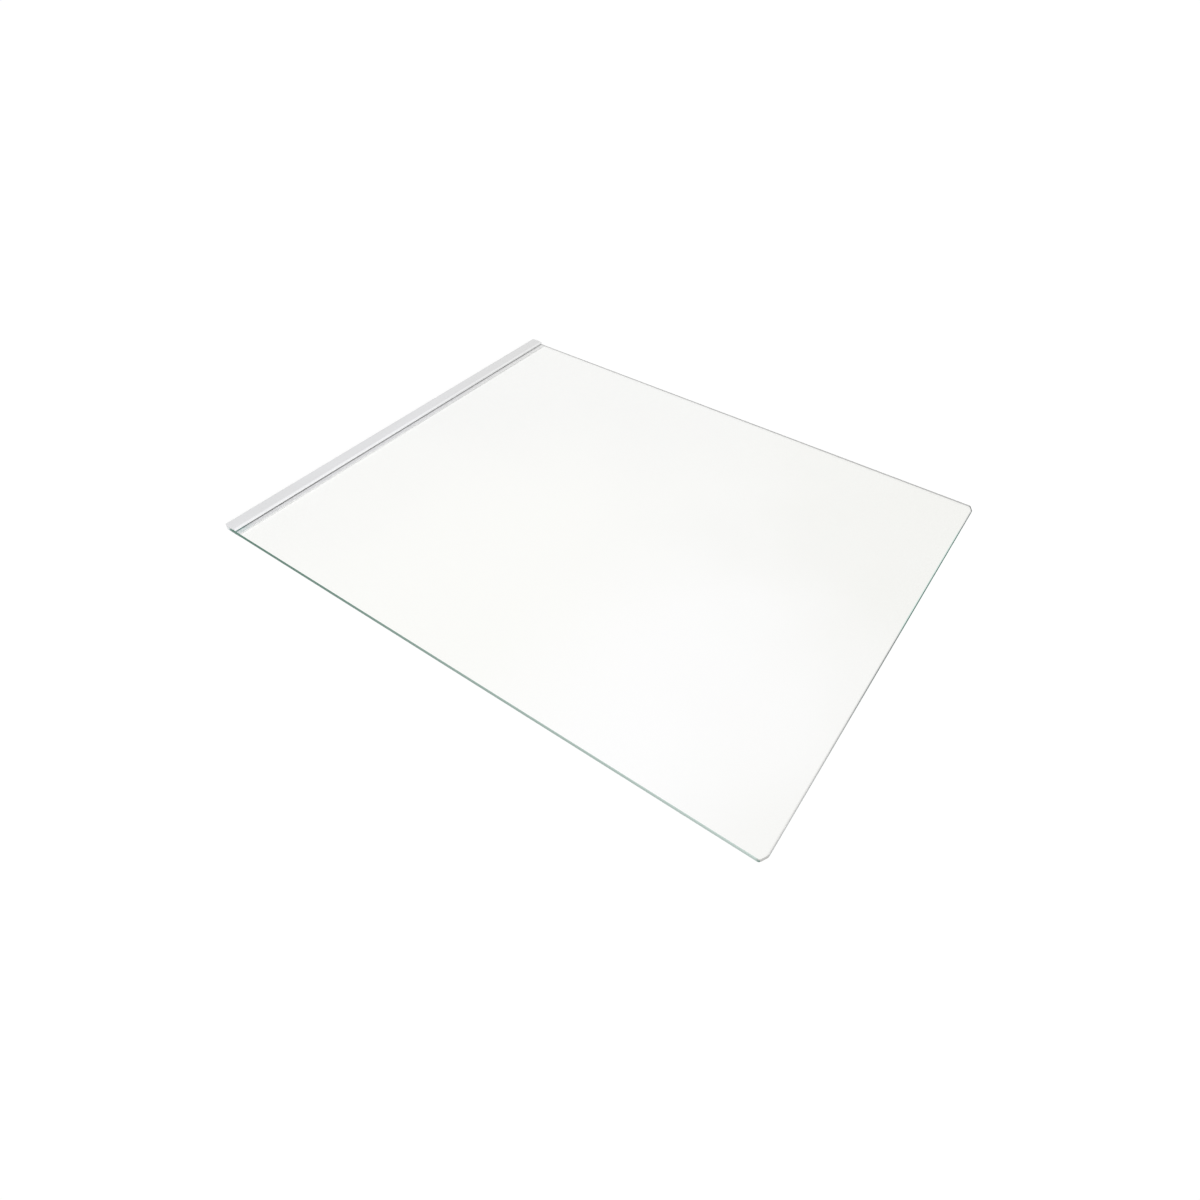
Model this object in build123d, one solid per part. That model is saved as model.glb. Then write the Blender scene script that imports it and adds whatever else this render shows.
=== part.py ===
from build123d import *
import os

# Glass fridge shelf: a flat pane of toughened glass with a plastic channel pushed over its front edge.
# Millimetres. X runs along the front edge, Y from front to rear, Z up.
# The origin is in the middle of the footprint, on the surface that the shelf lies on.

# Glass pane
PANE_WIDTH = 410.0  # along the front edge
PANE_DEPTH = 502.5  # from the front edge to the rear edge
PANE_THICKNESS = 3.2
CORNER_CUT_END = 6.3  # along the front and rear edges
CORNER_CUT_SIDE = 3.1  # along the side edges
CORNER_ROUND = 2.5  # softens both ends of each cut
ARRIS = 0.5  # ground chamfer along every edge of the sheet

# Edge trim: one extruded channel, open towards the rear
FRONT_WALL = 2.2  # in front of the glass
UPPER_REACH = 10.6  # how far the upper lip covers the glass
LOWER_REACH = 13.8  # how far the lower lip runs under the glass
LOWER_LIP = 1.2  # thickness of the lower lip
FRONT_CREST = 2.4  # height of the top above the glass, at the front
REAR_CREST = 2.7  # height of the top above the glass, where the bevel starts
LIP_EDGE = 1.9  # height of the upper lip's rear face above the glass
BEVEL_WIDTH = 0.9  # bevel between the top and the upper lip's rear face
END_SETBACK = 0.4  # the trim is cut this much short of the glass at each end
TOP_ROUND = 1.0  # front edge, above
BOTTOM_ROUND = 0.8  # front edge, below
CREST_ROUND = 1.2  # where the top turns into the bevel
TIP_ROUND = 0.4  # rear edges of the two lips

# Grip barbs under the upper lip: each has a steep inner side, a flat tip on the glass and a lead-in slope
BARB_HEIGHT = 0.55  # also the room between the upper lip and the glass
BARB_LENGTH = 1.4
BARB_TIP = 0.3
BARB_PITCH = 2.8
MOUTH_LAND = 0.5  # plain stretch of lip behind the last barb

# Places that follow from the sizes
FOOTPRINT_DEPTH = FRONT_WALL + PANE_DEPTH
PANE_FRONT_Y = FRONT_WALL - FOOTPRINT_DEPTH / 2
PANE_LIFT = LOWER_LIP  # the glass lies on the lower lip
TRIM_LENGTH = PANE_WIDTH - 2 * END_SETBACK


def rounded_face(outline):
    """Face inside a closed outline of corners, each given with its radius."""
    corners = [corner for corner, radius in outline]
    radii = [radius for corner, radius in outline]
    return make_face(FilletPolyline(*corners, radius=radii, close=True))


def make_glass_pane():
    """Flat sheet with four cut corners and ground arrises all round, above and below."""
    side = PANE_WIDTH / 2
    end = side - CORNER_CUT_END
    side_start = CORNER_CUT_SIDE
    side_end = PANE_DEPTH - CORNER_CUT_SIDE
    corners = [
        (-end, 0),
        (end, 0),
        (side, side_start),
        (side, side_end),
        (end, PANE_DEPTH),
        (-end, PANE_DEPTH),
        (-side, side_end),
        (-side, side_start),
    ]
    outline = [(corner, CORNER_ROUND) for corner in corners]
    pane = extrude(rounded_face(outline), PANE_THICKNESS)
    rims = pane.edges().filter_by(Axis.Z, reverse=True)
    pane = chamfer(rims, ARRIS)
    return Pos(0, PANE_FRONT_Y, PANE_LIFT) * pane


def barb_row(lip_face, glass_face):
    """Barbs of the upper lip, from its mouth inwards, between the lip's face and the glass."""
    last_start = UPPER_REACH - MOUTH_LAND - BARB_LENGTH
    count = 1 + int(last_start / BARB_PITCH)
    barbs = []
    for index in range(count):
        start = last_start - index * BARB_PITCH
        points = [
            (start, lip_face),
            (start, glass_face),
            (start + BARB_TIP, glass_face),
            (start + BARB_LENGTH, lip_face),
        ]
        barbs.append(make_face(Polyline(*points, close=True)))
    return barbs


def trim_section():
    """Section of the channel: distance behind the glass edge across, height above the glass underside up."""
    glass_top = PANE_THICKNESS
    slot_roof = glass_top + BARB_HEIGHT
    mid_slot = glass_top / 2
    outline = [
        ((LOWER_REACH, -PANE_LIFT), TIP_ROUND),
        ((-FRONT_WALL, -PANE_LIFT), BOTTOM_ROUND),
        ((-FRONT_WALL, glass_top + FRONT_CREST), TOP_ROUND),
        ((UPPER_REACH - BEVEL_WIDTH, glass_top + REAR_CREST), CREST_ROUND),
        ((UPPER_REACH, glass_top + LIP_EDGE), TIP_ROUND),
        ((UPPER_REACH, mid_slot), 0),
        ((LOWER_REACH, mid_slot), 0),
    ]
    slot = Rectangle(LOWER_REACH, slot_roof, align=Align.MIN)
    section = rounded_face(outline) - slot
    return section + barb_row(slot_roof, glass_top)


def make_edge_trim():
    """Channel extruded along the front edge and cut square at both ends."""
    section_plane = Plane(origin=(0, PANE_FRONT_Y, PANE_LIFT), x_dir=(0, 1, 0), z_dir=(1, 0, 0))
    return extrude(section_plane * trim_section(), TRIM_LENGTH / 2, both=True)


os.makedirs("parts", exist_ok=True)
export_step(make_glass_pane(), "parts/glass_pane.step")
export_step(make_edge_trim(), "parts/edge_trim.step")
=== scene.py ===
"""Looks of a glass fridge shelf: a clear pane with a pale plastic channel on its front edge."""
import logging
import math
from dataclasses import dataclass, field
from enum import Enum
from itertools import product
from typing import Protocol

import bmesh
import bpy
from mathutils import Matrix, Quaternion, Vector


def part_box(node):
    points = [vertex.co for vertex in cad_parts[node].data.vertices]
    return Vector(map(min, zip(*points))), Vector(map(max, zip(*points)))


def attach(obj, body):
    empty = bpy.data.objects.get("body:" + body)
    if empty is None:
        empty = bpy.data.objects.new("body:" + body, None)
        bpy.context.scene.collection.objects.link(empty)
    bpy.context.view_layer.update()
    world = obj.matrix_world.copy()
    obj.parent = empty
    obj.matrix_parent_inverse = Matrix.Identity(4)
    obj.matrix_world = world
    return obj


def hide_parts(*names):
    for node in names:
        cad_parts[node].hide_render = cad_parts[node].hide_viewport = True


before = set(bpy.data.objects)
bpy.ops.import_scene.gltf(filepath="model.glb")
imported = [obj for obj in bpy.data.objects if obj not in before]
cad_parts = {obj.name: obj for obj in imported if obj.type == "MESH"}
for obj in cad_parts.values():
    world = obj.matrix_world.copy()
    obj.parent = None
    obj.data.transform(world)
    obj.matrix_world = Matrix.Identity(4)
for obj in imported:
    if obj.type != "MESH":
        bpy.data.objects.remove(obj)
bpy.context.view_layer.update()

Colour = tuple[float, float, float]
Socket = bpy.types.NodeSocket

LOG = logging.getLogger("fridge_shelf")
ROOT_BODY = "root"
ORIGIN = Vector((0.0, 0.0, 0.0))
VIEW_AXIS = Vector((0.0, 0.0, 1.0))
WHITE: Colour = (1.0, 1.0, 1.0)
OPAQUE = 1.0
GLASS_INDEX = 1.52
PLASTIC_INDEX = 1.5
PLAIN_GLOSS = 0.5  # reflections as strong as the refractive index makes them
NOISE_LOW = 0.3  # noise value that gives the low end of a range
NOISE_HIGH = 0.7  # noise value that gives its high end
OCTAVE_FADE = 0.5  # each finer octave of noise is half as strong as the one before it
LEANING = 0.75  # part of a normal along an axis, up to which its face leans away from that axis
SQUARE = 0.95  # part of a normal along an axis, from which its face is square to that axis


class PaneFace(Enum):
    """Kinds of face on the pane, with their material slots."""

    POLISHED = 0
    SIDE_EDGE = 1
    CORNER_CUT = 2
    END_EDGE = 3
    END_ARRIS = 4


class Axis(Enum):
    """Axes of a piece's own coordinates, as the Separate XYZ node names them."""

    X = "X"
    Y = "Y"
    Z = "Z"


class Operation(Enum):
    """Ways to work out a number from two others, as the Math node names them."""

    ADD = "ADD"
    MULTIPLY = "MULTIPLY"
    MAXIMUM = "MAXIMUM"


class SeenBy(Enum):
    """Rays that carry the white background to the picture, by their Light Path output."""

    CAMERA = "Is Camera Ray"
    GLOSSY = "Is Glossy Ray"
    TRANSMISSION = "Is Transmission Ray"


class Finish(Protocol):
    """Anything that can build a material."""

    def material(self) -> bpy.types.Material:
        """Builds the material."""


class Shader:
    """A node tree under construction, with short ways to add nodes and links."""

    def __init__(self, tree: bpy.types.NodeTree) -> None:
        """Empties the tree.

        Args:
            tree: The node tree of a material or a world.
        """
        self.tree = tree
        tree.nodes.clear()

    @classmethod
    def of_material(cls, name: str) -> tuple["Shader", bpy.types.Material]:
        """Makes a new material.

        Args:
            name: The material's name.

        Returns:
            The empty node tree and its material.
        """
        material = bpy.data.materials.new(name)
        material.use_nodes = True
        return cls(material.node_tree), material

    def add(self, kind: str, **settings: object) -> bpy.types.Node:
        """Adds a node.

        Args:
            kind: The node's type, such as "ShaderNodeTexNoise".
            settings: Properties of the node, by name.

        Returns:
            The new node.
        """
        node = self.tree.nodes.new(kind)
        for name, value in settings.items():
            setattr(node, name, value)
        return node

    def link(self, source: Socket, target: Socket) -> None:
        """Joins an output to an input."""
        self.tree.links.new(source, target)

    def principled(self, ior: float, gloss: float = PLAIN_GLOSS) -> bpy.types.Node:
        """Adds the main surface shader and joins it to the output.

        Args:
            ior: Refractive index, which also sets the strength of reflections.
            gloss: Strength of reflections, PLAIN_GLOSS for what the index gives.

        Returns:
            The surface shader.
        """
        surface = self.add("ShaderNodeBsdfPrincipled")
        surface.inputs["IOR"].default_value = ior
        surface.inputs["Specular IOR Level"].default_value = gloss
        output = self.add("ShaderNodeOutputMaterial")
        self.link(surface.outputs["BSDF"], output.inputs["Surface"])
        return surface

    def mapped(self, scale: Vector, centre: Vector = ORIGIN) -> Socket:
        """Reads the piece's own coordinates.

        Args:
            scale: Factors along X, Y and Z.
            centre: Place that becomes zero.

        Returns:
            The moved and scaled coordinates.
        """
        place = self.add("ShaderNodeTexCoord")
        mapping = self.add("ShaderNodeMapping")
        mapping.inputs["Scale"].default_value = scale
        mapping.inputs["Location"].default_value = -centre * scale
        self.link(place.outputs["Object"], mapping.inputs["Vector"])
        return mapping.outputs["Vector"]

    def along(self, axis: Axis, start: float, end: float) -> Socket:
        """Measures how far a point lies along an axis of the piece.

        Args:
            axis: The axis.
            start: Place that gives 0.
            end: Place that gives 1.

        Returns:
            A smooth share from 0 to 1.
        """
        place = self.add("ShaderNodeTexCoord")
        parts = self.add("ShaderNodeSeparateXYZ")
        self.link(place.outputs["Object"], parts.inputs["Vector"])
        return self.share(parts.outputs[axis.value], start, end)

    def facing(self, axis: Axis) -> Socket:
        """Tells faces that look along an axis from all others.

        Args:
            axis: The axis.

        Returns:
            1 on faces square to the axis that look along it, 0 on those that lean well away from it.
        """
        side = self.add("ShaderNodeNewGeometry")
        parts = self.add("ShaderNodeSeparateXYZ")
        self.link(side.outputs["True Normal"], parts.inputs["Vector"])
        return self.share(parts.outputs[axis.value], LEANING, SQUARE)

    def from_inside(self) -> Socket:
        """Tells faces seen from inside the piece, 1, from those seen from outside, 0."""
        return self.add("ShaderNodeNewGeometry").outputs["Backfacing"]

    def noise(self, scale: Vector, detail: float, fineness: float = OCTAVE_FADE) -> Socket:
        """Adds a noise pattern on the piece's own coordinates.

        Args:
            scale: Noise cells per metre along X, Y and Z.
            detail: Octaves of finer noise.
            fineness: Strength of the finer octaves.

        Returns:
            The noise value, about 0 to 1.
        """
        texture = self.add("ShaderNodeTexNoise")
        texture.inputs["Scale"].default_value = 1.0
        texture.inputs["Detail"].default_value = detail
        texture.inputs["Roughness"].default_value = fineness
        self.link(self.mapped(scale), texture.inputs["Vector"])
        return texture.outputs["Fac"]

    def spread(self, value: Socket, low: float, high: float, start: float, end: float) -> Socket:
        """Maps a value to a range, smoothly and clamped.

        Args:
            value: The value to map.
            low: Result at the start.
            high: Result at the end.
            start: Value that gives low.
            end: Value that gives high.

        Returns:
            The mapped value.
        """
        node = self.add("ShaderNodeMapRange", interpolation_type="SMOOTHSTEP")
        self.link(value, node.inputs["Value"])
        node.inputs["From Min"].default_value = start
        node.inputs["From Max"].default_value = end
        node.inputs["To Min"].default_value = low
        node.inputs["To Max"].default_value = high
        return node.outputs["Result"]

    def share(self, value: Socket, start: float, end: float) -> Socket:
        """Maps a value to a share, 0 at the start and 1 at the end."""
        return self.spread(value, 0.0, 1.0, start, end)

    def sway(self, noise: Socket, middle: float, reach: float) -> Socket:
        """Lets a value sway about its middle, as far as the reach, with a noise pattern."""
        return self.spread(noise, middle - reach, middle + reach, NOISE_LOW, NOISE_HIGH)

    def blend(self, share: Socket, first: Colour | Socket, second: Colour | Socket) -> Socket:
        """Mixes two colours.

        Args:
            share: How much of the second colour, 0 to 1.
            first: Colour at share 0, or a socket that gives it.
            second: Colour at share 1, or a socket that gives it.

        Returns:
            The mixed colour.
        """
        node = self.add("ShaderNodeMix", data_type="RGBA")
        self.link(share, node.inputs["Factor"])
        for name, colour in (("A", first), ("B", second)):
            socket = next(s for s in node.inputs if s.name == name and s.type == "RGBA")
            if isinstance(colour, tuple):
                socket.default_value = (*colour, OPAQUE)
            else:
                self.link(colour, socket)
        return next(s for s in node.outputs if s.type == "RGBA")

    def combine(self, operation: Operation, first: Socket, second: Socket) -> Socket:
        """Works out a number from two others.

        Args:
            operation: What is done with the two numbers.
            first: The first number.
            second: The second number.

        Returns:
            The result.
        """
        node = self.add("ShaderNodeMath", operation=operation.value)
        self.link(first, node.inputs[0])
        self.link(second, node.inputs[1])
        return node.outputs["Value"]

    def bump(self, height: Socket, depth: float, strength: float) -> Socket:
        """Turns a pattern into relief.

        Args:
            height: The pattern, 0 to 1.
            depth: Height of the relief in metres.
            strength: Share of the effect.

        Returns:
            The bent normal.
        """
        node = self.add("ShaderNodeBump")
        node.inputs["Strength"].default_value = strength
        node.inputs["Distance"].default_value = depth
        self.link(height, node.inputs["Height"])
        return node.outputs["Normal"]

    def seen(self) -> Socket:
        """Tells rays that show the background from rays that light the object.

        Returns:
            1 for camera, glossy and transmission rays, 0 for all others.
        """
        path = self.add("ShaderNodeLightPath")
        share, *others = (path.outputs[ray.value] for ray in SeenBy)
        for output in others:
            share = self.combine(Operation.MAXIMUM, share, output)
        return share


@dataclass(frozen=True)
class Grain:
    """Fine relief of a surface, which also makes its gloss uneven.

    Attributes:
        scale: Noise cells per metre along X, Y and Z.
        detail: Octaves of finer noise.
        depth: Height of the relief in metres.
        strength: Share of the relief that shows.
        roughness: Mean roughness of the surface.
        sway: How far the roughness goes to either side of its mean.
        fineness: Strength of the finer octaves.
    """

    scale: Vector
    detail: float
    depth: float
    strength: float
    roughness: float
    sway: float
    fineness: float = OCTAVE_FADE

    def texture(self, shader: Shader, surface: bpy.types.Node) -> None:
        """Gives a surface this grain.

        Args:
            shader: The material under construction.
            surface: Its surface shader.
        """
        pattern = shader.noise(self.scale, self.detail, self.fineness)
        shader.link(shader.sway(pattern, self.roughness, self.sway), surface.inputs["Roughness"])
        shader.link(shader.bump(pattern, self.depth, self.strength), surface.inputs["Normal"])


EDGE_STREAKS = Grain(
    scale=Vector((500.0, 12.5, 500.0)), detail=3.0, depth=0.00003, strength=0.25,
    roughness=0.32, sway=0.1)
WHEEL_GRIT = Grain(
    scale=Vector((1400.0, 1400.0, 1400.0)), detail=3.0, depth=0.00004, strength=0.3,
    roughness=0.55, sway=0.12, fineness=0.6)
DIE_LINES = Grain(
    scale=Vector((4.0, 2600.0, 2600.0)), detail=2.0, depth=0.00002, strength=0.2,
    roughness=0.34, sway=0.06)


@dataclass(frozen=True)
class EndColours:
    """Colours along the ends of the pane, paler at one side than at the other, with a green stretch:
    painted light and shade.

    Attributes:
        pale: Colour at the pane's +X side.
        deep: Colour at its -X side.
        green: Colour of the green stretch, which lies in the deep half.
        pale_until: X at which the pale colour starts to deepen.
        deep_from: X from which it is deep.
        green_starts: X at which the green begins, and from which it is full.
        green_ends: X at which the green is gone, and up to which it is full.
    """

    pale: Colour
    deep: Colour
    green: Colour
    pale_until: float = 0.175
    deep_from: float = -0.01
    green_starts: tuple[float, float] = (-0.010, -0.030)
    green_ends: tuple[float, float] = (-0.175, -0.155)

    def across(self, shader: Shader) -> Socket:
        """Lays the colours out along the width of the pane.

        Args:
            shader: The material under construction.

        Returns:
            The colour at each place.
        """
        # Painted light and shade along the end: pale, deep, and a green stretch.
        width = shader.along(Axis.X, self.pale_until, self.deep_from)
        grey = shader.blend(width, self.pale, self.deep)
        begun = shader.along(Axis.X, *self.green_starts)
        not_ended = shader.along(Axis.X, *self.green_ends)
        stretch = shader.combine(Operation.MULTIPLY, begun, not_ended)
        return shader.blend(stretch, grey, self.green)


@dataclass(frozen=True)
class PolishedGlass:
    """Clear float glass with polished faces and a faint tint, lighter in its heart as painted light,
    with painted shade beside the rear arris.

    Attributes:
        name: The material's name.
        heart_front: Tint in the heart of the pane, lighter there as painted light, towards the front.
        heart_rear: Tint in the heart, towards the rear.
        rim_front: Tint away from the heart, towards the front.
        rim_rear: Tint away from the heart, towards the rear.
        front_until: Y up to which the front tints hold.
        rear_from: Y from which the rear tints hold.
        heart_place: Middle of the heart.
        heart_reach: Distance from there at which the heart has faded out.
        heart_share: Share of the heart, 1 in its middle, from which its tint is full.
        rim_share: Share of the heart up to which the rim's tint is full.
        cloud_scale: Noise cells per metre of the clouds in the tint.
        cloud_detail: Octaves of finer clouds.
        cloud_sway: How far the clouds shift the share of the heart, to either side.
        border_shade: Painted shade: tints, greenish in a stretch, of a soft strip beside the rear arris.
        border_from: Y at which the painted shade begins.
        border_until: Y from which its tint is full.
    """

    name: str = "polished_float_glass"
    heart_front: Colour = (0.949, 0.950, 0.926)
    heart_rear: Colour = (0.970, 0.970, 0.970)
    rim_front: Colour = (0.909, 0.910, 0.896)
    rim_rear: Colour = (0.882, 0.883, 0.855)
    front_until: float = -0.007
    rear_from: float = 0.141
    heart_place: Vector = Vector((0.172, 0.028, 0.0))
    heart_reach: float = 0.35
    heart_share: float = 0.8
    rim_share: float = -0.1
    cloud_scale: float = 5.0
    cloud_detail: float = 2.0
    cloud_sway: float = 0.12
    border_shade: EndColours = EndColours(
        pale=(0.745, 0.745, 0.725), deep=(0.62, 0.63, 0.62), green=(0.54, 0.71, 0.655))
    border_from: float = 0.2506
    border_until: float = 0.25185

    def material(self) -> bpy.types.Material:
        """Builds the material.

        Returns:
            A glass whose faint tint drifts from its heart to its rim and from front to rear, as painted
            light and shade.
        """
        shader, material = Shader.of_material(self.name)
        surface = shader.principled(GLASS_INDEX)
        surface.inputs["Roughness"].default_value = 0.0
        surface.inputs["Transmission Weight"].default_value = 1.0
        length = shader.along(Axis.Y, self.front_until, self.rear_from)
        rim = shader.blend(length, self.rim_front, self.rim_rear)
        heart = shader.blend(length, self.heart_front, self.heart_rear)
        # Painted light: the tint is lighter in the pane's heart than at its rim.
        tint = shader.blend(self.nearness(shader), rim, heart)
        # Painted shade in a soft strip beside the rear arris.
        beside = shader.along(Axis.Y, self.border_from, self.border_until)
        colour = shader.blend(beside, tint, self.border_shade.across(shader))
        shader.link(colour, surface.inputs["Base Color"])
        return material

    def nearness(self, shader: Shader) -> Socket:
        """Measures how near a place lies to the heart, with clouds.

        Args:
            shader: The material under construction.

        Returns:
            A share from 0, at the rim, to 1, in the heart.
        """
        reach = Vector((1.0, 1.0, 0.0)) / self.heart_reach
        ball = shader.add("ShaderNodeTexGradient", gradient_type="SPHERICAL")
        shader.link(shader.mapped(reach, self.heart_place), ball.inputs["Vector"])
        pattern = shader.noise(Vector((self.cloud_scale,) * 3), self.cloud_detail)
        clouds = shader.sway(pattern, 0.0, self.cloud_sway)
        clouded = shader.combine(Operation.ADD, ball.outputs["Fac"], clouds)
        return shader.share(clouded, self.rim_share, self.heart_share)


@dataclass(frozen=True)
class SideEdge:
    """The long edges, where the glass shows its green depth from outside; how deep the green is along
    them is painted shade, and their grey from inside is painted light.

    Attributes:
        name: The material's name.
        deep: Green at the front, and at the rounds before the rear corner cuts, where painted shade
            deepens it.
        pale: Green that the edge pales towards, reached only beyond its rear end.
        deep_until: Y at which the deep green starts to pale, before its front end.
        pale_from: Y at which the pale green would be reached.
        inner_front: Painted light: grey of the edge seen through the glass, at the front.
        inner_rear: The same painted light grey, at the rear.
        corner_from: Y at which painted shade deepens the green again.
        corner_until: Y from which it is deep.
        gloss: Strength of reflections.
        grain: Fine streaks along the edge.
    """

    name: str = "green_glass_edge"
    deep: Colour = (0.083, 0.178, 0.137)
    pale: Colour = (0.515, 0.606, 0.572)
    deep_until: float = -0.257
    pale_from: float = 0.33
    inner_front: Colour = (0.48, 0.48, 0.48)
    inner_rear: Colour = (0.455, 0.455, 0.455)
    corner_from: float = 0.2465
    corner_until: float = 0.2495
    gloss: float = 0.1
    grain: Grain = EDGE_STREAKS

    def material(self) -> bpy.types.Material:
        """Builds the material.

        Returns:
            A satin green edge with fine streaks along it, deepened by painted shade at its front and
            corner rounds, and a painted light grey when seen through the glass.
        """
        shader, material = Shader.of_material(self.name)
        surface = shader.principled(GLASS_INDEX, self.gloss)
        # Painted shade: the green deepens towards the front and again at the corner rounds.
        length = shader.along(Axis.Y, self.deep_until, self.pale_from)
        corner = shader.along(Axis.Y, self.corner_from, self.corner_until)
        outer = shader.blend(corner, shader.blend(length, self.deep, self.pale), self.deep)
        # Painted light: seen from inside, through the glass, the edge shows a light grey.
        inner = shader.blend(length, self.inner_front, self.inner_rear)
        colour = shader.blend(shader.from_inside(), outer, inner)
        shader.link(colour, surface.inputs["Base Color"])
        self.grain.texture(shader, surface)
        return material


@dataclass(frozen=True)
class GroundGlass:
    """Matt ground glass.

    Attributes:
        name: The material's name.
        colours: Colours along the end of the pane.
        gloss: Strength of reflections.
        grain: Marks of the grinding wheel.
    """

    name: str
    colours: EndColours
    gloss: float = 0.02
    grain: Grain = WHEEL_GRIT

    def material(self) -> bpy.types.Material:
        """Builds the material.

        Returns:
            A matt finish with the grit of the grinding wheel.
        """
        shader, material = Shader.of_material(self.name)
        surface = shader.principled(GLASS_INDEX, self.gloss)
        shader.link(self.colours.across(shader), surface.inputs["Base Color"])
        self.grain.texture(shader, surface)
        return material


# Painted light and shade: each ground end is paler at +X than at -X.
CUT_GREY: Colour = (0.36, 0.37, 0.365)
CUT_GROUND = GroundGlass("ground_corner_cut", EndColours(
    pale=(0.44, 0.44, 0.43), deep=CUT_GREY, green=CUT_GREY))
END_GROUND = GroundGlass("ground_end_edge", EndColours(
    pale=(0.19, 0.26, 0.23), deep=(0.10, 0.18, 0.15), green=(0.06, 0.16, 0.12)))
ARRIS_GROUND = GroundGlass("ground_end_arris", EndColours(
    pale=(0.50, 0.49, 0.495), deep=(0.180, 0.190, 0.186), green=(0.056, 0.122, 0.098)))


@dataclass(frozen=True)
class TrimPlastic:
    """Pale extruded plastic with faint die lines along its length.

    Attributes:
        name: The material's name.
        light: Lighter tone of the plastic.
        shade: Darker tone, which the light one drifts to and from.
        far: Tone at the far end, -X.
        near_until: X at which the near tones start to turn into the far one.
        far_from: X from which the far tone is full.
        lip_highlight: Painted highlight, a brighter tone of the upper lip's rear face at the near end,
            +X.
        lip_dull: X up to which that face has no painted highlight.
        lip_bright: X from which the painted highlight is full.
        under_glass_light: Painted light: a lighter tone of the lower lip under the glass.
        under_glass_light_far: The same painted light on the lower lip at the far end.
        under_glass_until: Z up to which level faces lie under the glass.
        open_from: Z from which they lie in the open.
        groove_shade: Painted shade: a darker tone of the lower lip below the upper lip.
        groove_until: Y up to which that tone is full.
        groove_end: Y at which it has faded out.
        groove_green_cast: Painted green light from the near glass edge, on the painted shade below the
            upper lip.
        under_glass_green_cast: Painted green light from the near glass edge, on the lower lip under the
            glass.
        tinge_until: X up to which nothing is greener.
        tinge_from: X from which the greener tones are full.
        drift_scale: Noise cells per metre of the drift, along X, Y and Z.
        drift_detail: Octaves of finer drift.
        grain: Die lines.
    """

    name: str = "pale_extruded_plastic"
    light: Colour = (0.757, 0.760, 0.774)
    shade: Colour = (0.728, 0.731, 0.741)
    far: Colour = (0.708, 0.708, 0.708)
    near_until: float = 0.02
    far_from: float = -0.19
    lip_highlight: Colour = (0.93, 0.93, 0.94)
    lip_dull: float = -0.12
    lip_bright: float = 0.08
    under_glass_light: Colour = (0.78, 0.785, 0.80)
    under_glass_light_far: Colour = (0.83, 0.83, 0.83)
    under_glass_until: float = 0.0012
    open_from: float = 0.0014
    groove_shade: Colour = (0.36, 0.36, 0.365)
    groove_until: float = -0.2408
    groove_end: float = -0.2400
    groove_green_cast: Colour = (0.19, 0.31, 0.30)
    under_glass_green_cast: Colour = (0.67, 0.73, 0.735)
    tinge_until: float = 0.186
    tinge_from: float = 0.199
    drift_scale: Vector = Vector((12.0, 60.0, 60.0))
    drift_detail: float = 2.0
    grain: Grain = DIE_LINES

    def material(self) -> bpy.types.Material:
        """Builds the material.

        Returns:
            A satin plastic with die lines and a slight drift of colour, with painted light on the lower
            lip under the glass, painted shade below the upper lip and a painted highlight on that lip's
            rear face.
        """
        shader, material = Shader.of_material(self.name)
        surface = shader.principled(PLASTIC_INDEX)
        width = shader.along(Axis.X, self.near_until, self.far_from)
        # Painted light: level faces under the glass get a lighter tone than the plastic in the open.
        low = shader.along(Axis.Z, self.open_from, self.under_glass_until)
        under_glass = shader.combine(Operation.MULTIPLY, low, shader.facing(Axis.Z))
        colour = shader.blend(under_glass, self.in_open(shader, width), self.below_glass(shader, width))
        shader.link(colour, surface.inputs["Base Color"])
        self.grain.texture(shader, surface)
        return material

    def in_open(self, shader: Shader, width: Socket) -> Socket:
        """Colours the faces that the glass doesn't cover, with a painted highlight on the upper lip's
        rear face.

        Args:
            shader: The material under construction.
            width: Share from the near end to the far one.

        Returns:
            The colour at each place.
        """
        drift = shader.share(shader.noise(self.drift_scale, self.drift_detail), NOISE_LOW, NOISE_HIGH)
        near = shader.blend(drift, self.light, self.shade)
        open_tone = shader.blend(width, near, self.far)
        # Painted highlight on the upper lip's rear face, fading out towards the far end.
        towards_near = shader.along(Axis.X, self.lip_dull, self.lip_bright)
        lip_highlight_share = shader.combine(Operation.MULTIPLY, shader.facing(Axis.Y), towards_near)
        return shader.blend(lip_highlight_share, open_tone, self.lip_highlight)

    def below_glass(self, shader: Shader, width: Socket) -> Socket:
        """Colours the lower lip under the glass with painted light, painted shade below the upper lip
        and painted green light beside the near glass edge.

        Args:
            shader: The material under construction.
            width: Share from the near end to the far one.

        Returns:
            The colour at each place.
        """
        # Painted green light beside the near glass edge.
        beside = shader.along(Axis.X, self.tinge_until, self.tinge_from)
        # Painted light on the lower lip under the glass, a little lighter at the far end.
        under_glass_light = shader.blend(width, self.under_glass_light, self.under_glass_light_far)
        lit = shader.blend(beside, under_glass_light, self.under_glass_green_cast)
        # Painted shade below the upper lip, greener beside the near glass edge.
        shaded = shader.blend(beside, self.groove_shade, self.groove_green_cast)
        in_groove = shader.along(Axis.Y, self.groove_end, self.groove_until)
        return shader.blend(in_groove, lit, shaded)


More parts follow.
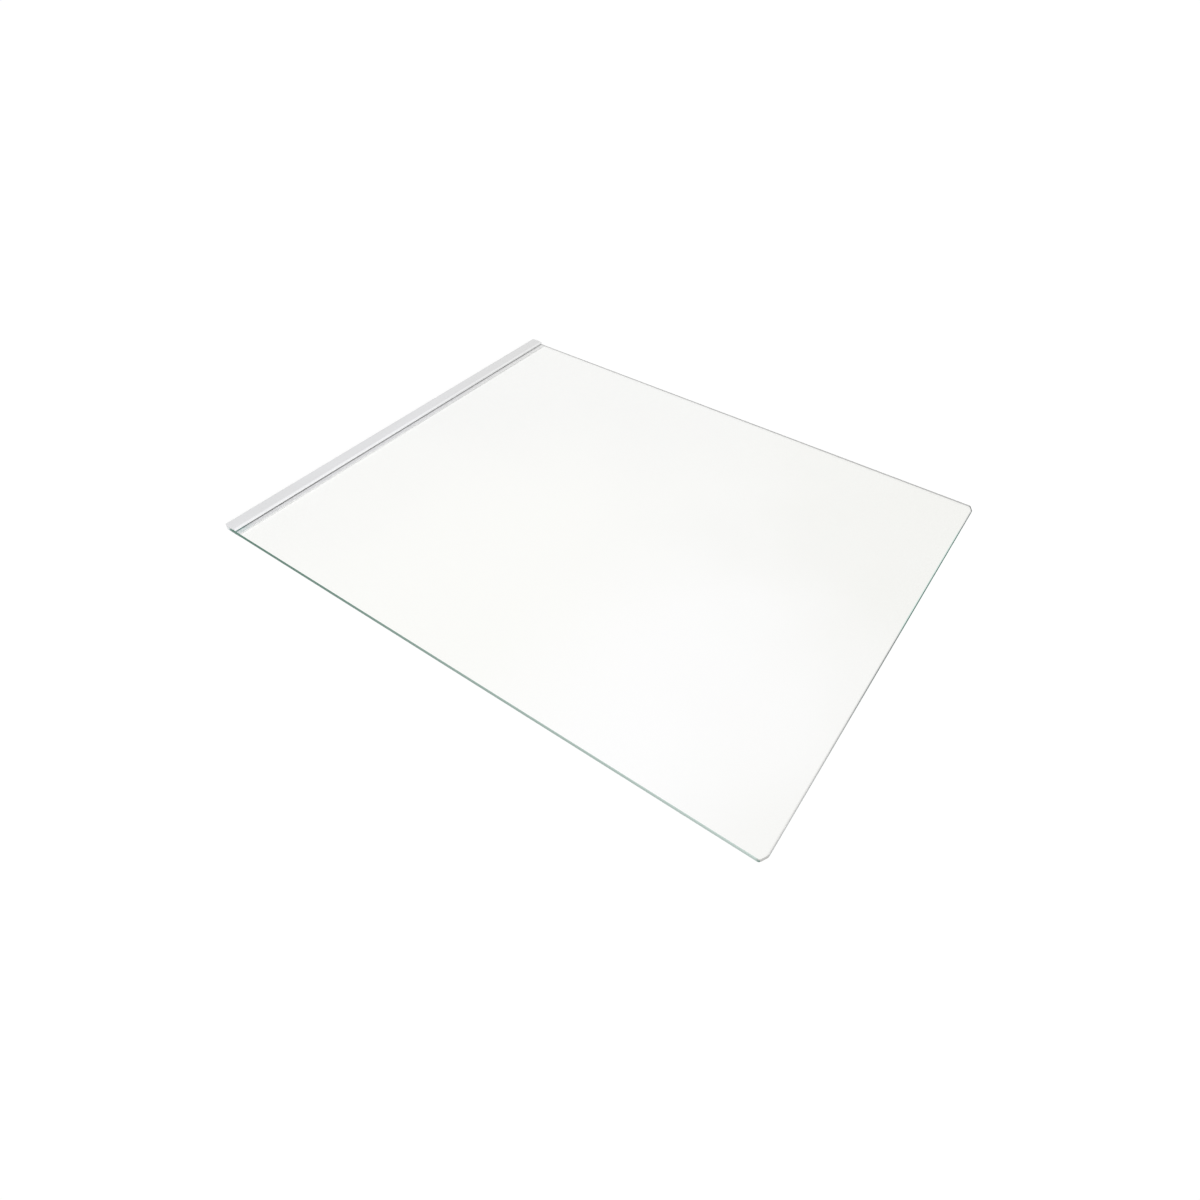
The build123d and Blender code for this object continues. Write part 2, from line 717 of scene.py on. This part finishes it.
@dataclass
class GlassPane:
    """The flat sheet of toughened glass, in metres and degrees.

    Attributes:
        node: The solid that it stands for.
        piece: The name of its object.
        slot: The record's material slot.
        cut_end: Length of a corner cut along the front or rear edge.
        cut_side: Length of a corner cut along a side edge.
        cut_round: Radius at both ends of a corner cut.
        round_segments: Facets of such a round.
        arris: Width of the chamfer around the top and bottom faces.
        polished: Finish of the top and bottom faces.
        side_edge: Finish of the long edges.
        corner_cut: Finish of the corner cuts.
        end_edge: Finish of the front and rear edges.
        end_arris: Finish of the chamfers along them.
        upright_part: Upright part of a direction, from which it counts as upright.
        side_part: Part of a normal along X, from which a face belongs to a long edge.
        stray_part: Part of a normal along Y, up to which a face belongs to a long edge.
        cut_part: Part of a normal along X, from which a face belongs to a corner cut.
        flat_part: Upright part of a normal, up to which a face belongs to an edge's flat.
        square_turn: Turn between two faces, from which their edge is a square one.
    """

    node: str = "glass_pane"
    piece: str = "shelf_glass"
    # slot: Name of a material slot, not used.
    slot: str = "glass"
    cut_end: float = 0.0063
    cut_side: float = 0.0031
    cut_round: float = 0.0025
    round_segments: int = 8
    arris: float = 0.0005
    polished: PolishedGlass = field(default_factory=PolishedGlass)
    side_edge: SideEdge = field(default_factory=SideEdge)
    corner_cut: GroundGlass = CUT_GROUND
    end_edge: GroundGlass = END_GROUND
    end_arris: GroundGlass = ARRIS_GROUND
    upright_part: float = 0.99
    side_part: float = 0.8
    stray_part: float = 0.01
    cut_part: float = 0.2
    flat_part: float = 0.1
    square_turn: float = 80.0

    def build(self) -> bpy.types.Object:
        """Models the pane, dresses it and puts it in place of its solid.

        Returns:
            The pane's object.
        """
        mesh = bpy.data.meshes.new(self.piece)
        shape = self.shape()
        shape.to_mesh(mesh)
        shape.free()
        finishes = self.finishes()
        for kind in PaneFace:
            mesh.materials.append(finishes[kind].material())
        pane = bpy.data.objects.new(self.piece, mesh)
        bpy.context.scene.collection.objects.link(pane)
        pane.visible_shadow = False
        pane.visible_diffuse = False
        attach(pane, ROOT_BODY)
        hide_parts(self.node)
        return pane

    def finishes(self) -> dict[PaneFace, Finish]:
        """Gives each kind of face its finish.

        Returns:
            The finishes, by kind of face.
        """
        return {
            PaneFace.POLISHED: self.polished,
            PaneFace.SIDE_EDGE: self.side_edge,
            PaneFace.CORNER_CUT: self.corner_cut,
            PaneFace.END_EDGE: self.end_edge,
            PaneFace.END_ARRIS: self.end_arris,
        }

    def shape(self) -> bmesh.types.BMesh:
        """Models the sheet: a slab, cut at its corners and chamfered along its rims.

        Returns:
            The mesh under construction, with a material slot for each kind of face.
        """
        low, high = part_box(self.node)
        shape = bmesh.new()
        bmesh.ops.create_cube(shape, size=1.0)
        bmesh.ops.scale(shape, vec=high - low, verts=shape.verts)
        bmesh.ops.translate(shape, vec=(low + high) / 2, verts=shape.verts)
        for side, end in product((low.x, high.x), (low.y, high.y)):
            self.cut_corner(shape, side, end)
        self.round_cuts(shape)
        rims = [edge for edge in shape.edges if self.is_rim(edge)]
        bmesh.ops.bevel(shape, geom=rims, offset=self.arris, offset_type="OFFSET",
                        affect="EDGES", segments=1, profile=0.5, material=-1)
        bmesh.ops.recalc_face_normals(shape, faces=shape.faces)
        for face in shape.faces:
            face.material_index = self.kind_of(face).value
        return shape

    def cut_corner(self, shape: bmesh.types.BMesh, side: float, end: float) -> None:
        """Cuts a corner off along an upright plane and closes the sheet again.

        Args:
            shape: The sheet.
            side: X of the side edge.
            end: Y of the front or rear edge.
        """
        start = Vector((side, end - math.copysign(self.cut_side, end), 0.0))
        outward = Vector((math.copysign(self.cut_side, side), math.copysign(self.cut_end, end), 0.0))
        everything = [*shape.verts, *shape.edges, *shape.faces]
        bmesh.ops.bisect_plane(
            shape, geom=everything, plane_co=start, plane_no=outward, clear_outer=True)
        open_edges = [edge for edge in shape.edges if edge.is_boundary]
        bmesh.ops.holes_fill(shape, edges=open_edges, sides=len(open_edges))
        bmesh.ops.recalc_face_normals(shape, faces=shape.faces)

    def round_cuts(self, shape: bmesh.types.BMesh) -> None:
        """Rounds the upright edges at both ends of each corner cut.

        Args:
            shape: The sheet with its corners cut.
        """
        blunt = [edge for edge in shape.edges if self.is_blunt_upright(edge)]
        places = [(edge.verts[0].co.xy.copy(), edge.calc_face_angle()) for edge in blunt]
        for place, turn in places:
            edge = self.upright_at(shape, place)
            bmesh.ops.bevel(shape, geom=[edge], offset=self.cut_round * math.tan(turn / 2),
                            offset_type="OFFSET", affect="EDGES", segments=self.round_segments,
                            profile=0.5, material=-1)

    @staticmethod
    def upright_at(shape: bmesh.types.BMesh, place: Vector) -> bmesh.types.BMEdge:
        """Finds the upright edge at a place, seen from above.

        Args:
            shape: The sheet.
            place: X and Y of the edge.

        Returns:
            The edge whose two ends lie nearest to the place.
        """
        return min(shape.edges, key=lambda edge: sum((vert.co.xy - place).length for vert in edge.verts))

    def is_blunt_upright(self, edge: bmesh.types.BMEdge) -> bool:
        """Tells the upright edges of a corner cut from the square ones.

        Args:
            edge: An edge of the sheet.

        Returns:
            True for an upright edge at an end of a corner cut.
        """
        first, second = (vert.co for vert in edge.verts)
        upright = abs((first - second).normalized().z) > self.upright_part
        return upright and edge.calc_face_angle() < math.radians(self.square_turn)

    def is_rim(self, edge: bmesh.types.BMEdge) -> bool:
        """Tells the edges around the top and bottom faces from the uprights."""
        levels = [abs(face.normal.z) > self.upright_part for face in edge.link_faces]
        return levels.count(True) == 1

    def kind_of(self, face: bmesh.types.BMFace) -> PaneFace:
        """Tells a face's finish by the way it looks.

        Args:
            face: A face of the sheet.

        Returns:
            The kind of face.
        """
        across, along, up = (abs(part) for part in face.normal)
        if up > self.upright_part:
            return PaneFace.POLISHED
        if across > self.side_part or along < self.stray_part:
            return PaneFace.SIDE_EDGE
        if across > self.cut_part:
            return PaneFace.CORNER_CUT
        return PaneFace.END_EDGE if up < self.flat_part else PaneFace.END_ARRIS


@dataclass
class EdgeTrim:
    """The plastic channel on the front edge.

    Attributes:
        node: The solid that it dresses.
        plastic: Finish of the solid.
    """

    node: str = "edge_trim"
    plastic: TrimPlastic = field(default_factory=TrimPlastic)

    def dress(self) -> bpy.types.Object:
        """Gives the solid its plastic finish.

        Returns:
            The trim's object.
        """
        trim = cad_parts[self.node]
        finish = self.plastic.material()
        for slot in trim.material_slots:
            slot.material = finish
        return trim


@dataclass(frozen=True)
class PhotoCamera:
    """A pinhole camera where the photograph was taken, in metres and degrees.

    Attributes:
        name: The camera's name.
        eye: Its place.
        target: The point at the middle of the picture.
        roll: Its turn about the line of sight.
        focal_pixels: Focal length in pixels of the photograph.
        frame_pixels: Width of the photograph in pixels.
        sensor: Width of the sensor, in millimetres.
        clip_start: Distance from which things are seen.
    """

    name: str = "photo_camera"
    eye: Vector = Vector((0.42671, 0.28285, 0.42718))
    target: Vector = Vector((0.08439, 0.04888, 0.0))
    roll: float = 1.589
    focal_pixels: float = 761.4
    frame_pixels: float = 1200.0
    sensor: float = 36.0
    clip_start: float = 0.01

    def place(self) -> bpy.types.Object:
        """Makes the camera and looks through it.

        Returns:
            The camera's object.
        """
        lens = bpy.data.cameras.new(self.name)
        lens.sensor_width = self.sensor
        lens.lens = self.focal_pixels / self.frame_pixels * self.sensor
        lens.clip_start = self.clip_start
        camera = bpy.data.objects.new(self.name, lens)
        camera.location = self.eye
        camera.rotation_mode = "QUATERNION"
        aim = (self.target - self.eye).to_track_quat("-Z", "Y")
        camera.rotation_quaternion = aim @ Quaternion(VIEW_AXIS, math.radians(self.roll))
        bpy.context.scene.collection.objects.link(camera)
        bpy.context.scene.camera = camera
        return camera


@dataclass(frozen=True)
class WhiteFloor:
    """Matt floor that is white to the eye and still takes shadows.

    Attributes:
        name: The material's name.
        grey: Colour of the matt surface.
        lift: Glow added for the rays that show the floor, which makes it white to the eye.
    """

    name: str = "white_floor"
    grey: Colour = (0.6, 0.6, 0.6)
    lift: float = 0.42

    def material(self) -> bpy.types.Material:
        """Builds the material.

        Returns:
            A matt surface with an added glow that only shows and doesn't light.
        """
        shader, material = Shader.of_material(self.name)
        matt = shader.add("ShaderNodeBsdfDiffuse")
        matt.inputs["Color"].default_value = (*self.grey, OPAQUE)
        glow = shader.add("ShaderNodeEmission")
        shader.link(shader.spread(shader.seen(), 0.0, self.lift, 0.0, 1.0), glow.inputs["Strength"])
        both = shader.add("ShaderNodeAddShader")
        shader.link(matt.outputs["BSDF"], both.inputs[0])
        shader.link(glow.outputs["Emission"], both.inputs[1])
        output = shader.add("ShaderNodeOutputMaterial")
        shader.link(both.outputs["Shader"], output.inputs["Surface"])
        return material


@dataclass(frozen=True)
class Studio:
    """White floor and plain soft light, in metres and degrees.

    Attributes:
        floor_size: Length of the floor's sides.
        floor_drop: How far the floor lies below the shelf.
        floor_finish: Finish of the floor.
        ambient: Brightness that the world gives to what it lights.
        key_level: Brightness that the key light gives to level faces.
        key_from: Direction that the key light comes from.
        key_spread: Angle that the key light fills.
    """

    floor_size: float = 40.0
    floor_drop: float = 0.0001
    floor_finish: WhiteFloor = field(default_factory=WhiteFloor)
    ambient: float = 0.4
    key_level: float = 0.6
    key_from: Vector = Vector((0.75, 0.75, 1.0))
    key_spread: float = 50.0

    def build(self) -> None:
        """Sets up the world, the floor and the key light."""
        bpy.context.scene.view_settings.view_transform = "Standard"
        self.light_world()
        self.lay_floor()
        self.hang_key()

    def light_world(self) -> None:
        """Makes a world that is white to the eye and dimmer to what it lights."""
        world = bpy.data.worlds.new("studio")
        world.use_nodes = True
        bpy.context.scene.world = world
        shader = Shader(world.node_tree)
        fill = shader.add("ShaderNodeBackground")
        fill.inputs["Strength"].default_value = self.ambient
        white = shader.add("ShaderNodeBackground")
        for background in (fill, white):
            background.inputs["Color"].default_value = (*WHITE, OPAQUE)
        choice = shader.add("ShaderNodeMixShader")
        shader.link(shader.seen(), choice.inputs["Fac"])
        shader.link(fill.outputs["Background"], choice.inputs[1])
        shader.link(white.outputs["Background"], choice.inputs[2])
        output = shader.add("ShaderNodeOutputWorld")
        shader.link(choice.outputs["Shader"], output.inputs["Surface"])

    def lay_floor(self) -> None:
        """Lays the floor just below the shelf."""
        shape = bmesh.new()
        bmesh.ops.create_grid(shape, x_segments=1, y_segments=1, size=self.floor_size / 2)
        bmesh.ops.translate(shape, vec=(0.0, 0.0, -self.floor_drop), verts=shape.verts)
        mesh = bpy.data.meshes.new("floor")
        shape.to_mesh(mesh)
        shape.free()
        mesh.materials.append(self.floor_finish.material())
        floor = bpy.data.objects.new("floor", mesh)
        bpy.context.scene.collection.objects.link(floor)

    def hang_key(self) -> None:
        """Hangs a broad key light that gives level faces the chosen brightness."""
        direction = self.key_from.normalized()
        lamp = bpy.data.lights.new("key", "SUN")
        lamp.angle = math.radians(self.key_spread)
        lamp.energy = self.key_level * math.pi / direction.z
        key = bpy.data.objects.new("key", lamp)
        key.rotation_mode = "QUATERNION"
        key.rotation_quaternion = direction.to_track_quat("Z", "Y")
        key.visible_glossy = False
        key.visible_transmission = False
        bpy.context.scene.collection.objects.link(key)


def main() -> None:
    """Builds the shelf and its studio."""
    logging.basicConfig(level=logging.INFO, format="%(name)s: %(message)s")
    pane = GlassPane().build()
    LOG.info("%s has %d faces", pane.name, len(pane.data.polygons))
    trim = EdgeTrim().dress()
    LOG.info("%s has %d faces", trim.name, len(trim.data.polygons))
    Studio().build()
    camera = PhotoCamera().place()
    LOG.info("%s has a lens of %.2f mm", camera.name, camera.data.lens)


if __name__ == "__main__":
    main()
